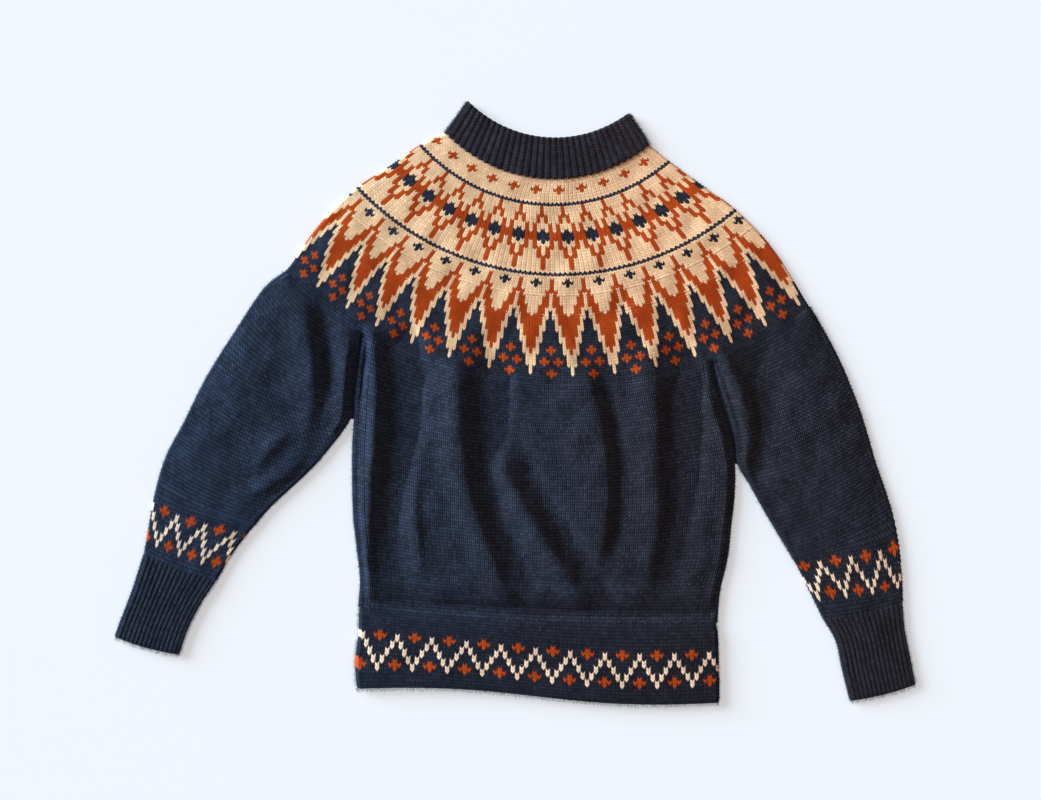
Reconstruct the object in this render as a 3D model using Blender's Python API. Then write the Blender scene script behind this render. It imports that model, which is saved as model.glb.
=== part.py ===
"""Wool sweater with a round yoke, laid flat on its back.

Metres, +Z up. Sizes below are in millimetres in the plane of the laid garment: +X to the right as one looks
down on it, +Y to the neck. Every piece is a wall of knitted cloth round a flattened tube. A ring is one line of
stitches across the tube, from its left fold to its right fold; the same ring runs back underneath.
"""

import math

import bpy
import numpy as np

MM = 0.001
CENTRE = (0.10, -1.0)  # middle of the laid garment in the plane of the tables below

WALL = 2.4  # thickness of one layer of stockinette
FOLD_RADIUS = 3.4  # outer radius of a side fold, so two layers and the air between are 6.8 thick
BAND_WALL = 3.8  # neckband and hem are knit double
BAND_RADIUS = 4.7
SEAM_GAP = 0.35  # between two pieces at a seam
LOFT_EDGE = 26.0  # distance from a side fold over which the front layer rises to its full loft
RELIEF_EDGE = 8.0  # the same for the named folds
LEAST_SAG = 0.05  # a straight ring is a very flat arc
FULL_LOFT = 1.8  # air under the front layer in the middle of the garment
RIB_HEIGHT = 1.3
RIM_STEP = 1.6  # length of the rounding at a free edge
RIM_INSET = 0.9
RIB_POINTS = 3  # points across a rib: one in its furrow and two on its crest
FRONT_RIBS = {"neckband": 25, "cuff": 10}
SIDE_SEAM = {"left": 15.0, "right": 9.0}  # from the side fold to the seam, along the front

# One row for each ring, with the columns left_x, left_y, right_x, right_y, sag, wave, loft. left and right are
# the fold points, sag is how far the ring bows down between them, wave drops its right half and lifts its left
# half, and loft is the rise of the front layer at its middle.
SAG, WAVE, LOFT = 4, 5, 6
NECKBAND = (
    (-55, 348, 131, 334, 35.6, 0, 0.6),
    (-68, 329, 143, 316, 37.5, 0, 0.8),
    (-82, 310, 156, 296, 47.1, 0, 1.0),
)
YOKE = (
    (-82, 310, 156, 296, 47.1, 0, 0.9),
    (-110, 297, 178, 278, 59.8, 0, 1.2),
    (-149, 270, 222, 246, 75.9, 0, 1.6),
    (-185, 246, 257, 220, 88.5, 0, 1.8),
    (-227, 204, 299, 175, 98.9, 0, 1.8),
    (-258, 160, 335, 118, 106.9, 0, 1.8),
    (-267, 150, 341, 109, 108.7, 0, 1.8),
)
# Where the yoke's lower ring divides: left sleeve, body, right sleeve.
UNDERARM = {"left": (-176, -174), "right": (225, 228)}
BODY = (
    (-180, 49, 229, 22, 39.1, 0, 1.8),
    (-184, 12, 237, -5, 32.2, 0, 1.8),
    (-186, -20, 246, -34, 27.6, 0, 1.8),
    (-188, -55, 253, -71, 23.0, 0, 1.8),
    (-188, -91, 253, -106, 18.4, 0, 1.8),
    (-187, -129, 249, -142, 13.8, 0, 1.8),
    (-183, -167, 245, -179, 11.5, 0, 1.7),
    (-179, -204, 236, -218, 9.2, 0, 1.4),
    (-181, -234, 233, -252, 6.9, 0, 0.9),
)
HEM_BAND = (
    (-181, -234, 233, -252, 6.9, 0, 0.6),
    (-181, -263, 234, -287, 8.0, -2.3, 0.4),
    (-185, -300, 235, -319, 5.8, -4.0, 0.8),
    (-183, -331, 235, -347, 0.6, -5.0, 0.4),
)
SLEEVE_LEFT = (
    (-292, 129, -183, 47, 13.8, 0, 1.8),
    (-330, 72, -188, 6, 13.8, 0, 1.8),
    (-349, 42, -191, -20, 11.5, 0, 1.8),
    (-365, 13, -219, -58, 9.2, 0, 1.8),
    (-383, -24, -243, -84, 6.9, 0, 1.7),
    (-403, -62, -281, -119, 5.8, 0, 1.5),
    (-415, -101, -305, -147, 4.6, 0, 1.3),
    (-421, -132, -326, -174, 3.4, 0, 1.2),
    (-428, -173, -344, -204, 2.3, 0, 0.9),
)
CUFF_LEFT = (
    (-428, -173, -344, -204, 2.3, 0, 0.9),
    (-442, -217, -365, -236, 1.1, 0, 0.6),
    (-455, -251, -379, -265, 1.1, 0, 0.4),
    (-462, -271, -388, -292, 2.3, 0, 0.8),
)
SLEEVE_RIGHT = (
    (237, 17, 360, 76, 11.5, 0, 1.8),
    (247, -14, 375, 47, 11.5, 0, 1.8),
    (254, -43, 387, 19, 10.3, 0, 1.8),
    (257, -71, 398, -10, 9.2, 0, 1.8),
    (272, -97, 407, -39, 8.0, 0, 1.8),
    (287, -124, 415, -67, 6.9, 0, 1.7),
    (306, -156, 426, -99, 5.8, 0, 1.5),
    (324, -186, 438, -139, 4.6, 0, 1.3),
    (338, -214, 445, -185, 3.4, 0, 1.1),
    (354, -247, 447, -228, 2.3, 0, 0.9),
)
CUFF_RIGHT = (
    (354, -247, 447, -228, 2.3, 0, 0.9),
    (370, -275, 449, -259, 1.1, 0, 0.6),
    (378, -310, 456, -296, 1.1, 0, 0.4),
    (387, -346, 462, -327, 2.3, 0, 0.8),
)

# The largest soft folds of the front layer: start, end, half width, and rise or (negative) depth.
FOLDS = {
    "side_roll_left": (-161, 60, -172, -227, 8, 4.0),
    "trough_left": (-135, 72, -151, -181, 15, -2.5),
    "ridge_left": (-92, 30, -84, -216, 22, 5.0),
    "trough_inner_left": (-41, 28, -43, -60, 12, -2.0),
    "trough_diagonal": (-41, -60, 24, -164, 10, -2.0),
    "swell_middle": (38, 10, 38, -181, 34, 4.5),
    "trough_inner_right": (91, 20, 118, -181, 12, -2.0),
    "ridge_right": (137, 3, 137, -227, 16, 5.0),
    "trough_right": (189, 32, 187, -227, 18, -2.5),
    "side_roll_right": (214, 9, 224, -227, 10, 4.5),
    "slot_left_upper": (-172, 76, -174, 35, 6, -5.0),
    "slot_left_lower": (-174, 35, -185, -15, 6, -4.0),
    "slot_right_upper": (233, 30, 241, 3, 6, -4.0),
    "slot_right_lower": (241, 3, 258, -60, 6, -5.0),
    "sleeve_left_trough": (-227, 135, -214, 3, 12, -2.5),
    "sleeve_left_ridge": (-195, 62, -212, -26, 11, 5.5),
    "sleeve_left_swell": (-262, 118, -345, -66, 26, 4.0),
    "sleeve_right_ridge": (248, 44, 272, -40, 10, 5.5),
    "sleeve_right_swell": (334, 56, 402, -135, 26, 4.0),
    "sleeve_right_trough": (298, 60, 340, -100, 14, -2.0),
}

NAVY = (0.021, 0.047, 0.102, 1.0)
NAVY_RIB = (0.018, 0.036, 0.080, 1.0)
CREAM = (0.80, 0.62, 0.43, 1.0)
WOOL_ROUGHNESS = 0.92


def ring_line(ring, share):
    """Points (n, 2) of a ring at these shares of its length: a circular arc that bows down, plus the wave."""
    left = np.array(ring[0:2])
    right = np.array(ring[2:4])
    sag = max(ring[SAG], LEAST_SAG)
    chord = right - left
    length = math.hypot(*chord)
    along = chord / length
    down = np.array((along[1], -along[0]))
    radius = (length**2 / 4 + sag**2) / (2 * sag)
    half = math.asin(length / (2 * radius))
    angle = half * (2 * share - 1)
    forward = length / 2 + radius * np.sin(angle)
    drop = radius * (np.cos(angle) - math.cos(half)) + ring[WAVE] * np.sin(2 * math.pi * share)
    return left + forward[:, None] * along + drop[:, None] * down


def ring_length(ring):
    """Length of a ring from fold to fold."""
    points = ring_line(ring, np.linspace(0, 1, 33))
    return float(np.linalg.norm(np.diff(points, axis=0), axis=1).sum())


def lower_arc():
    """Centre and radius of the circle that the yoke's lower ring lies on."""
    left, middle, right = ring_line(YOKE[-1], np.array((0.0, 0.5, 1.0)))
    chord = right - left
    half = math.hypot(*chord) / 2
    sag = YOKE[-1][SAG]
    radius = (half**2 + sag**2) / (2 * sag)
    up = (left + right) / 2 - middle
    return middle + up / np.linalg.norm(up) * radius, radius


def divided_ring(x_left, x_right, loft):
    """The stretch of the yoke's lower ring between two places across the garment, as a ring of its own."""
    centre, radius = lower_arc()
    ends = []
    for x in (x_left, x_right):
        ends += [x, centre[1] - math.sqrt(radius**2 - (x - centre[0]) ** 2)]
    half = math.hypot(ends[2] - ends[0], ends[3] - ends[1]) / 2
    return (*ends, radius - math.sqrt(radius**2 - half**2), 0.0, loft)


def ring_between(table, place):
    """A ring at a fractional row of a table, on a smooth curve through the rows."""
    rows = np.array(table, float)
    last = len(rows) - 1
    low = int(min(max(math.floor(place), 0), last - 1))
    t = place - low
    before = rows[low - 1] if low else 2 * rows[0] - rows[1]
    after = rows[low + 2] if low + 2 <= last else 2 * rows[last] - rows[last - 1]
    start, end = rows[low], rows[low + 1]
    start_slope = (end - before) / 2
    end_slope = (after - start) / 2
    return (
        (2 * t**3 - 3 * t**2 + 1) * start
        + (t**3 - 2 * t**2 + t) * start_slope
        + (3 * t**2 - 2 * t**3) * end
        + (t**3 - t**2) * end_slope
    )


def fold_relief(points):
    """Sum of the named folds at these points: a soft ridge or trough that fades past its two ends."""
    total = np.zeros(len(points))
    for start_x, start_y, end_x, end_y, width, rise in FOLDS.values():
        start = np.array((start_x, start_y))
        run = np.array((end_x, end_y)) - start
        share = np.clip((points - start) @ run / (run @ run), 0, 1)
        away = np.linalg.norm(points - start - share[:, None] * run, axis=1)
        total += rise * np.exp(-((away / width) ** 2))
    return total


def smooth(share):
    share = np.clip(share, 0, 1)
    return share * share * (3 - 2 * share)


def front_height(ring, across, width, radius):
    """Top of the front layer at these distances from the left fold."""
    points = ring_line(ring, across / width)
    blend = smooth((np.minimum(across, width - across) - radius) / LOFT_EDGE)
    loft = ring[LOFT]
    relief = fold_relief(points) * min(1.0, loft / FULL_LOFT)
    near = smooth((np.minimum(across, width - across) - radius) / RELIEF_EDGE)
    return 2 * radius + np.maximum(loft * blend + relief * near, 0.0)


def rib_relief(across, width, ribs):
    """Ridges along the tube, each between two furrows."""
    phase = (across / width * ribs) % 1.0
    return RIB_HEIGHT * smooth(np.minimum(phase, 1 - phase) * RIB_POINTS)


def loop_layout(width, radius, front, back, fold=5):
    """Places round a closed ring as (kind, value): front distances, right fold, back distances, left fold."""
    places = [("front", x) for x in np.linspace(radius, width - radius, front + 1)]
    places += [("right", a) for a in np.linspace(0, math.pi, fold + 1)[1:-1]]
    places += [("back", x) for x in np.linspace(width - radius, radius, back + 1)]
    places += [("left", a) for a in np.linspace(math.pi, 2 * math.pi, fold + 1)[1:-1]]
    return places


def wall_points(ring, places, radius, wall, ribs, inset):
    """Outer and inner points (n, 3) of a ring's wall. inset pinches both towards the wall's middle."""
    width = ring_length(ring)
    outer, inner = [], []
    for kind, value in places:
        if kind == "front":
            across = float(value)
            step = np.array((across - 0.5, across, across + 0.5))
            heights = front_height(ring, step, width, radius)
            slope = heights[2] - heights[0]
            steep = math.hypot(slope, 1)
            normal = np.array((-slope / steep, 1 / steep))
            place = np.array((across, heights[1]))
        elif kind == "back":
            normal = np.array((0.0, -1.0))
            place = np.array((float(value), 0.0))
        else:
            middle = width - radius if kind == "right" else radius
            normal = np.array((math.sin(value), math.cos(value)))
            place = np.array((middle, radius)) + radius * normal
        raised = 0.0
        if ribs and kind != "back":
            raised = float(rib_relief(place[0], width, ribs))
            raised *= smooth((place[1] - radius) / radius) if kind != "front" else 1.0
        for side, depth in ((outer, inset - raised), (inner, wall - inset)):
            section = place - depth * normal
            flat = ring_line(ring, np.array((section[0] / width,)))[0]
            side.append((flat[0], flat[1], section[1]))
    return np.array(outer), np.array(inner)


def row_places(table, count, rims):
    """(fractional row, inset) for the rings of a piece: trimmed at seams, pinched at free edges."""
    last = len(table) - 1
    mean = [ring_line(row, np.array((0.0, 0.25, 0.5, 0.75, 1.0))) for row in table]
    first_step = np.linalg.norm(mean[1] - mean[0], axis=1).min()
    last_step = np.linalg.norm(mean[last] - mean[last - 1], axis=1).min()
    starts = [(SEAM_GAP / 2 / first_step, 0.0)]
    ends = [(last - SEAM_GAP / 2 / last_step, 0.0)]
    if rims == "first":
        starts = [(0.0, RIM_INSET), (RIM_STEP / first_step, 0.0)]
    if rims == "last":
        ends = [(last - RIM_STEP / last_step, 0.0), (float(last), RIM_INSET)]
    middle = np.linspace(starts[-1][0], ends[0][0], count)[1:-1]
    return starts + [(place, 0.0) for place in middle] + ends


def cloth(name, table, material, rows, front=0, back=0, span="round", radius=FOLD_RADIUS, wall=WALL, ribs=0,
          rims=""):
    """One piece as a closed wall: the whole tube, or only its front or the rest of it."""
    outer, inner = [], []
    for place, inset in row_places(table, rows, rims):
        ring = ring_between(table, place)
        width = ring_length(ring)
        if span == "front":
            edges = (SIDE_SEAM["left"] + SEAM_GAP / 2, width - SIDE_SEAM["right"] - SEAM_GAP / 2)
            places = [("front", x) for x in np.linspace(*edges, front + 1)]
        elif span == "rest":
            whole = loop_layout(width, radius, 1, back)[2:]
            right = np.linspace(width - SIDE_SEAM["right"] + SEAM_GAP / 2, width - radius, 3)
            left = np.linspace(radius, SIDE_SEAM["left"] - SEAM_GAP / 2, 4)
            places = [("front", x) for x in right] + whole + [("front", x) for x in left]
        else:
            places = loop_layout(width, radius, front, back)
        ring_outer, ring_inner = wall_points(ring, places, radius, wall, ribs, inset)
        outer.append(ring_outer)
        inner.append(ring_inner)
    return closed_wall(name, np.array(outer), np.array(inner), span == "round", material)


def closed_wall(name, outer, inner, round_tube, material):
    """A mesh from two grids of points: both faces of the wall, its two ends, and its sides if it is open."""
    rows, columns = outer.shape[:2]
    points = np.concatenate([outer.reshape(-1, 3), inner.reshape(-1, 3)])
    under = rows * columns
    faces = []
    spans = columns if round_tube else columns - 1
    for row in range(rows - 1):
        for column in range(spans):
            following = (column + 1) % columns
            a = row * columns + column
            b = row * columns + following
            c = (row + 1) * columns + following
            d = (row + 1) * columns + column
            faces.append((a, b, c, d))
            faces.append((under + d, under + c, under + b, under + a))
    for column in range(spans):
        following = (column + 1) % columns
        faces.append((following, column, under + column, under + following))
        top = (rows - 1) * columns
        faces.append((top + column, top + following, under + top + following, under + top + column))
    if not round_tube:
        # Both sides of a seam are split along the same diagonal, so that they stay parallel.
        for row in range(rows - 1):
            a, b = row * columns, (row + 1) * columns
            faces += [(a, b, under + b), (a, under + b, under + a)]
            a, b = a + columns - 1, b + columns - 1
            faces += [(b, a, under + b), (a, under + a, under + b)]
    points[:, :2] -= CENTRE
    points *= MM
    triangles = np.array([face[:3] for face in faces] + [(f[0], f[2], f[3]) for f in faces if len(f) == 4])
    corners = points[triangles]
    if np.einsum("ij,ij->i", corners[:, 0], np.cross(corners[:, 1], corners[:, 2])).sum() < 0:
        faces = [face[::-1] for face in faces]
    mesh = bpy.data.meshes.new(name)
    mesh.from_pydata(points.tolist(), [], faces)
    mesh.shade_smooth()
    mesh.set_sharp_from_angle(angle=math.radians(50))
    mesh.materials.append(material)
    piece = bpy.data.objects.new(name, mesh)
    bpy.context.scene.collection.objects.link(piece)
    return piece


def wool(name, colour):
    """Matt wool: no metal, hardly any gloss."""
    material = bpy.data.materials.new(name)
    material.use_nodes = True
    shader = material.node_tree.nodes["Principled BSDF"]
    shader.inputs["Base Color"].default_value = colour
    shader.inputs["Roughness"].default_value = WOOL_ROUGHNESS
    shader.inputs["Metallic"].default_value = 0.0
    material.diffuse_color = colour
    return material


def make_neckband(material):
    """Double rib; its top edge is the rounded fold."""
    cloth("neckband", NECKBAND, material, rows=4, front=RIB_POINTS * FRONT_RIBS["neckband"], back=26,
          radius=BAND_RADIUS, wall=BAND_WALL, ribs=FRONT_RIBS["neckband"], rims="first")


def make_yoke(material):
    """The whole patterned ring, from the neckband to the underarms."""
    cloth("yoke", YOKE, material, rows=10, front=50, back=24)


def make_body(material):
    """Front and back, parted at seams that lie just in front of the side folds."""
    table = (divided_ring(UNDERARM["left"][1], UNDERARM["right"][0], FULL_LOFT), *BODY)
    cloth("body_front", table, material, rows=12, front=40, span="front")
    cloth("body_back", table, material, rows=12, back=12, span="rest")


def make_hem(material):
    """Turned hem, double, with a soft lower edge."""
    cloth("hem_band", HEM_BAND, material, rows=5, front=30, back=12, radius=BAND_RADIUS, wall=BAND_WALL,
          rims="last")


def make_arm(side, sleeve_rows, cuff_rows, sleeve_wool, rib_wool):
    """A sleeve and its cuff."""
    if side == "left":
        top = divided_ring(YOKE[-1][0], UNDERARM["left"][0], FULL_LOFT)
    else:
        top = divided_ring(UNDERARM["right"][1], YOKE[-1][2], FULL_LOFT)
    cloth(f"sleeve_{side}", (top, *sleeve_rows), sleeve_wool, rows=12, front=18, back=7)
    cloth(f"cuff_{side}", cuff_rows, rib_wool, rows=4, front=RIB_POINTS * FRONT_RIBS["cuff"], back=7,
          ribs=FRONT_RIBS["cuff"], rims="last")


def main():
    for old in list(bpy.data.objects):
        bpy.data.objects.remove(old)
    yoke_wool = wool("yoke_colourwork", CREAM)
    body_wool = wool("navy_stockinette", NAVY)
    rib_wool = wool("navy_rib", NAVY_RIB)
    make_neckband(rib_wool)
    make_yoke(yoke_wool)
    make_body(body_wool)
    make_hem(body_wool)
    make_arm("left", SLEEVE_LEFT, CUFF_LEFT, body_wool, rib_wool)
    make_arm("right", SLEEVE_RIGHT, CUFF_RIGHT, body_wool, rib_wool)


main()
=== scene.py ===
"""Looks of the laid wool sweater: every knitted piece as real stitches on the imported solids.

Sizes are in millimetres in the plane of the laid garment, as in the part's source: +X to the right as one
looks down on it, +Y to the neck. They turn into metres where a mesh is made.
"""

import math

import bpy
import numpy as np
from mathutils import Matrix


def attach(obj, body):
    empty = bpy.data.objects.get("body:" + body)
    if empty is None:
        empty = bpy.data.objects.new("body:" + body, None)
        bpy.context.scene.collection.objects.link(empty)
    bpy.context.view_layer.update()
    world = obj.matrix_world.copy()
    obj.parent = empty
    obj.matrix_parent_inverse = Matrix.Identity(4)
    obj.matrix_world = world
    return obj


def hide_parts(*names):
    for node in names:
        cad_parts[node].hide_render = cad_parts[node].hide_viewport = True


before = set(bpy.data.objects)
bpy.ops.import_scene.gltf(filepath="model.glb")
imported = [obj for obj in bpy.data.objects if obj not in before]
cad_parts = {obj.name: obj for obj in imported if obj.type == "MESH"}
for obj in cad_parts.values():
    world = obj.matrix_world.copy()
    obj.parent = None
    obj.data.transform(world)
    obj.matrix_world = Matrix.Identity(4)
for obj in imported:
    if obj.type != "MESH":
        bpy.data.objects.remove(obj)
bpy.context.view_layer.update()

MM = 0.001
CENTRE = np.array((0.10, -1.0))  # middle of the laid garment in the plane of the tables below
PHOTO_WIDTH = 1041
PHOTO_HEIGHT = 800
PIXEL = 1.15  # millimetres of cloth in a pixel of the photo
PHOTO_ORIGIN = np.array((515.3, 402.5))  # the pixel at the tables' origin

# The rings of each tube, as in the solid: left fold, right fold, sag, wave, loft.
SAG, WAVE, LOFT = 4, 5, 6
LEAST_SAG = 0.05
FOLD_RADIUS = 3.4
BAND_RADIUS = 4.7
WALL = 2.4
BAND_WALL = 3.8
LOFT_EDGE = 26.0  # from a fold inwards to the full loft
RELIEF_EDGE = 8.0  # from a fold inwards to the full height of the creases
FLUSH_EDGE = 1.5  # both, where a tube begins flush with the cloth above it
FULL_LOFT = 1.8
SIDE_SEAM = {"left": 15.0, "right": 9.0}  # from the side fold to the seam, along the front
NECKBAND = (
    (-55, 348, 131, 334, 35.6, 0, 0.6),
    (-68, 329, 143, 316, 37.5, 0, 0.8),
    (-82, 310, 156, 296, 47.1, 0, 1.0),
)
YOKE = (
    (-82, 310, 156, 296, 47.1, 0, 0.9),
    (-110, 297, 178, 278, 59.8, 0, 1.2),
    (-149, 270, 222, 246, 75.9, 0, 1.6),
    (-185, 246, 257, 220, 88.5, 0, 1.8),
    (-227, 204, 299, 175, 98.9, 0, 1.8),
    (-258, 160, 335, 118, 106.9, 0, 1.8),
    (-267, 150, 341, 109, 108.7, 0, 1.8),
)
UNDERARM = {"left": (-176, -174), "right": (225, 228)}
BODY = (
    (-180, 49, 229, 22, 39.1, 0, 1.8),
    (-184, 12, 237, -5, 32.2, 0, 1.8),
    (-186, -20, 246, -34, 27.6, 0, 1.8),
    (-188, -55, 253, -71, 23.0, 0, 1.8),
    (-188, -91, 253, -106, 18.4, 0, 1.8),
    (-187, -129, 249, -142, 13.8, 0, 1.8),
    (-183, -167, 245, -179, 11.5, 0, 1.7),
    (-179, -204, 236, -218, 9.2, 0, 1.4),
    (-181, -234, 233, -252, 6.9, 0, 0.9),
)
HEM_BAND = (
    (-181, -234, 233, -252, 6.9, 0, 0.6),
    (-181, -263, 234, -287, 8.0, -2.3, 0.4),
    (-185, -300, 235, -319, 5.8, -4.0, 0.8),
    (-183, -331, 235, -347, 0.6, -5.0, 0.4),
)
SLEEVE_LEFT = (
    (-292, 129, -183, 47, 13.8, 0, 1.8),
    (-330, 72, -188, 6, 13.8, 0, 1.8),
    (-349, 42, -191, -20, 11.5, 0, 1.8),
    (-365, 13, -219, -58, 9.2, 0, 1.8),
    (-383, -24, -243, -84, 6.9, 0, 1.7),
    (-403, -62, -281, -119, 5.8, 0, 1.5),
    (-415, -101, -305, -147, 4.6, 0, 1.3),
    (-421, -132, -326, -174, 3.4, 0, 1.2),
    (-428, -173, -344, -204, 2.3, 0, 0.9),
)
CUFF_LEFT = (
    SLEEVE_LEFT[-1],
    (-442, -217, -365, -236, 1.1, 0, 0.6),
    (-455, -251, -379, -265, 1.1, 0, 0.4),
    (-462, -271, -388, -292, 2.3, 0, 0.8),
)
SLEEVE_RIGHT = (
    (237, 17, 360, 76, 11.5, 0, 1.8),
    (247, -14, 375, 47, 11.5, 0, 1.8),
    (254, -43, 387, 19, 10.3, 0, 1.8),
    (257, -71, 398, -10, 9.2, 0, 1.8),
    (272, -97, 407, -39, 8.0, 0, 1.8),
    (287, -124, 415, -67, 6.9, 0, 1.7),
    (306, -156, 426, -99, 5.8, 0, 1.5),
    (324, -186, 438, -139, 4.6, 0, 1.3),
    (338, -214, 445, -185, 3.4, 0, 1.1),
    (354, -247, 447, -228, 2.3, 0, 0.9),
)
CUFF_RIGHT = (
    SLEEVE_RIGHT[-1],
    (370, -275, 449, -259, 1.1, 0, 0.6),
    (378, -310, 456, -296, 1.1, 0, 0.4),
    (387, -346, 462, -327, 2.3, 0, 0.8),
)

# Soft folds of the front layer, each a line from top to bottom of (x, y, half width on its
# left, half width on its right, rise). x, y and the half widths are in pixels of the photo. The rise is in
# millimetres, negative for a trough.
FOLDS = {
    "roll_left": ((372, 334, 9, 7, 4.5), (375, 356, 9, 7, 9.5), (376, 390, 10, 8, 11),
        (375, 430, 10, 8, 11), (372, 465, 9, 8, 9.5), (370, 500, 9, 7, 8), (367, 560, 9, 7, 7),
        (372, 604, 9, 7, 4)),
    "trough_left": ((402, 320, 18, 11, -2.5), (411, 340, 26, 10, -7), (417, 380, 31, 9, -9),
        (413, 430, 30, 9, -9), (402, 470, 22, 10, -7.5), (393, 520, 17, 11, -5.5), (397, 570, 16, 12, -5),
        (410, 602, 17, 13, -4.5)),
    "small_left": ((416, 480, 6, 5, 0.6), (415, 505, 8, 5, 3), (418, 545, 8, 5, 3), (420, 572, 6, 5, 0.8)),
    "ridge_left": ((452, 352, 18, 12, 2), (458, 384, 18, 13, 12), (459, 430, 18, 13, 12),
        (461, 462, 20, 11, 9.5), (469, 500, 20, 10, 9), (484, 540, 20, 10, 9), (497, 575, 18, 10, 7.5),
        (507, 602, 14, 9, 3)),
    "trough_upper": ((492, 346, 20, 12, -2), (504, 376, 31, 9, -8), (502, 430, 28, 9, -8.5),
        (490, 470, 12, 7, -5.5), (498, 512, 11, 7, -5), (515, 548, 11, 8, -5), (531, 586, 10, 8, -3.5)),
    "ridge_slanting": ((494, 444, 8, 8, 1), (501, 464, 11, 9, 6), (519, 500, 13, 10, 8.5),
        (543, 540, 14, 11, 9), (566, 572, 15, 11, 8), (580, 602, 13, 11, 4)),
    "trough_slanting": ((516, 436, 8, 10, -1.5), (535, 484, 13, 10, -5), (562, 526, 14, 10, -6),
        (586, 560, 14, 10, -5.5), (604, 586, 12, 9, -4), (614, 610, 8, 8, -2.5)),
    "swell_middle": ((580, 362, 38, 13, 2), (588, 388, 42, 12, 7.5), (598, 424, 44, 11, 8.5),
        (604, 460, 40, 10, 8.5), (606, 500, 34, 9, 8), (601, 540, 24, 9, 5.5), (593, 572, 14, 9, 2.5)),
    "trough_middle": ((600, 368, 8, 8, -1), (609, 396, 8, 8, -3.5), (617, 424, 7, 8, -4),
        (620, 460, 7, 7, -3.5), (620, 510, 7, 7, -3), (614, 550, 8, 8, -2)),
    "ridge_right": ((650, 356, 16, 10, 1.5), (653, 384, 20, 11, 8), (655, 436, 20, 11, 8.5),
        (656, 487, 18, 10, 7), (655, 530, 17, 10, 5.5), (646, 580, 15, 10, 2.5)),
    "trough_right": ((688, 346, 22, 11, -3), (696, 380, 30, 10, -8.5), (697, 440, 30, 10, -8.5),
        (691, 490, 23, 11, -6.5), (683, 540, 18, 12, -5), (670, 588, 14, 12, -3)),
    "roll_right": ((712, 384, 12, 7, 2.5), (720, 406, 16, 8, 6.5), (731, 436, 16, 8, 6.5),
        (736, 465, 15, 8, 6), (735, 510, 14, 8, 6), (731, 555, 14, 8, 5), (721, 600, 12, 8, 3)),
    "hem_bulge": ((380, 583, 8, 7, 1.5), (450, 586, 9, 7, 3), (540, 592, 9, 7, 3.5), (640, 594, 9, 7, 3.5),
        (716, 594, 8, 7, 2)),
    "hem_crease": ((362, 600, 5, 5, -3), (430, 607, 6, 6, -9), (515, 611, 6, 6, -10), (600, 614, 6, 6, -10),
        (660, 615, 6, 6, -8), (716, 614, 5, 5, -3)),
    "slot_left": ((361, 334, 4, 4, -3), (363, 345, 5, 5, -8), (364, 362, 5, 5, -8), (360, 392, 4, 4, -5),
        (355, 418, 4, 4, -2)),
    "slot_right": ((713, 364, 4, 4, -3), (719, 378, 4, 4, -6), (725, 398, 5, 5, -7), (735, 424, 5, 5, -7),
        (738, 452, 5, 5, -4)),
    "sleeve_left_edge": ((347, 336, 11, 7, 3), (350, 360, 12, 7, 7), (350, 398, 12, 7, 7),
        (345, 425, 10, 7, 5.5), (332, 448, 8, 7, 2.5)),
    "sleeve_left_trough": ((322, 300, 8, 8, -1.5), (326, 330, 8, 9, -4.5), (327, 362, 8, 9, -5),
        (326, 400, 7, 8, -3.5), (318, 425, 7, 7, -1)),
    "sleeve_left_ridge": ((296, 292, 14, 10, 2), (306, 322, 20, 9, 7), (310, 350, 20, 9, 8.5),
        (312, 376, 18, 9, 8), (313, 402, 14, 9, 5), (312, 425, 10, 8, 1)),
    "sleeve_left_swell": ((280, 300, 26, 20, 1.5), (262, 345, 34, 26, 3.5), (240, 400, 34, 26, 3.5),
        (215, 455, 30, 22, 2.5), (190, 500, 22, 18, 1)),
    "sleeve_left_wrinkle": ((292, 430, 7, 6, 1), (270, 449, 11, 7, 5), (254, 470, 9, 7, 2)),
    "sleeve_left_crook": ((300, 462, 8, 6, 1), (278, 480, 10, 6, 3.5), (254, 492, 9, 6, 2)),
    "sleeve_right_edge": ((719, 352, 8, 7, 2.5), (729, 368, 10, 8, 6), (739, 392, 10, 8, 7),
        (747, 416, 10, 8, 6.5), (749, 442, 9, 8, 5), (746, 462, 8, 7, 2)),
    "sleeve_right_trough": ((748, 330, 14, 14, -2), (762, 362, 16, 18, -5), (766, 392, 16, 18, -5.5),
        (766, 420, 16, 17, -5.5), (762, 446, 14, 15, -4.5), (764, 474, 13, 13, -2.5)),
    "sleeve_right_swell": ((800, 340, 28, 24, 1), (822, 400, 32, 24, 3), (842, 460, 30, 22, 3),
        (862, 520, 26, 18, 2)),
}

# Slight unevenness of hand-knit cloth: wavelengths across and along, phase, and height in millimetres.
UNEVEN = (
    (37, 91, 0.3, 0.30), (-53, 64, 1.7, 0.28), (83, -47, 4.1, 0.30),
    (29, -120, 2.6, 0.18), (140, 33, 5.2, 0.22),
)
SIDE_BLEND = 12.0  # across a fold's line, over which one half width turns into the other
FIELD_STEP = 2.0  # between the places at which the folds are worked out
FIELD_REACH = (480.0, 370.0)  # of those places, to either side of the middle

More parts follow.
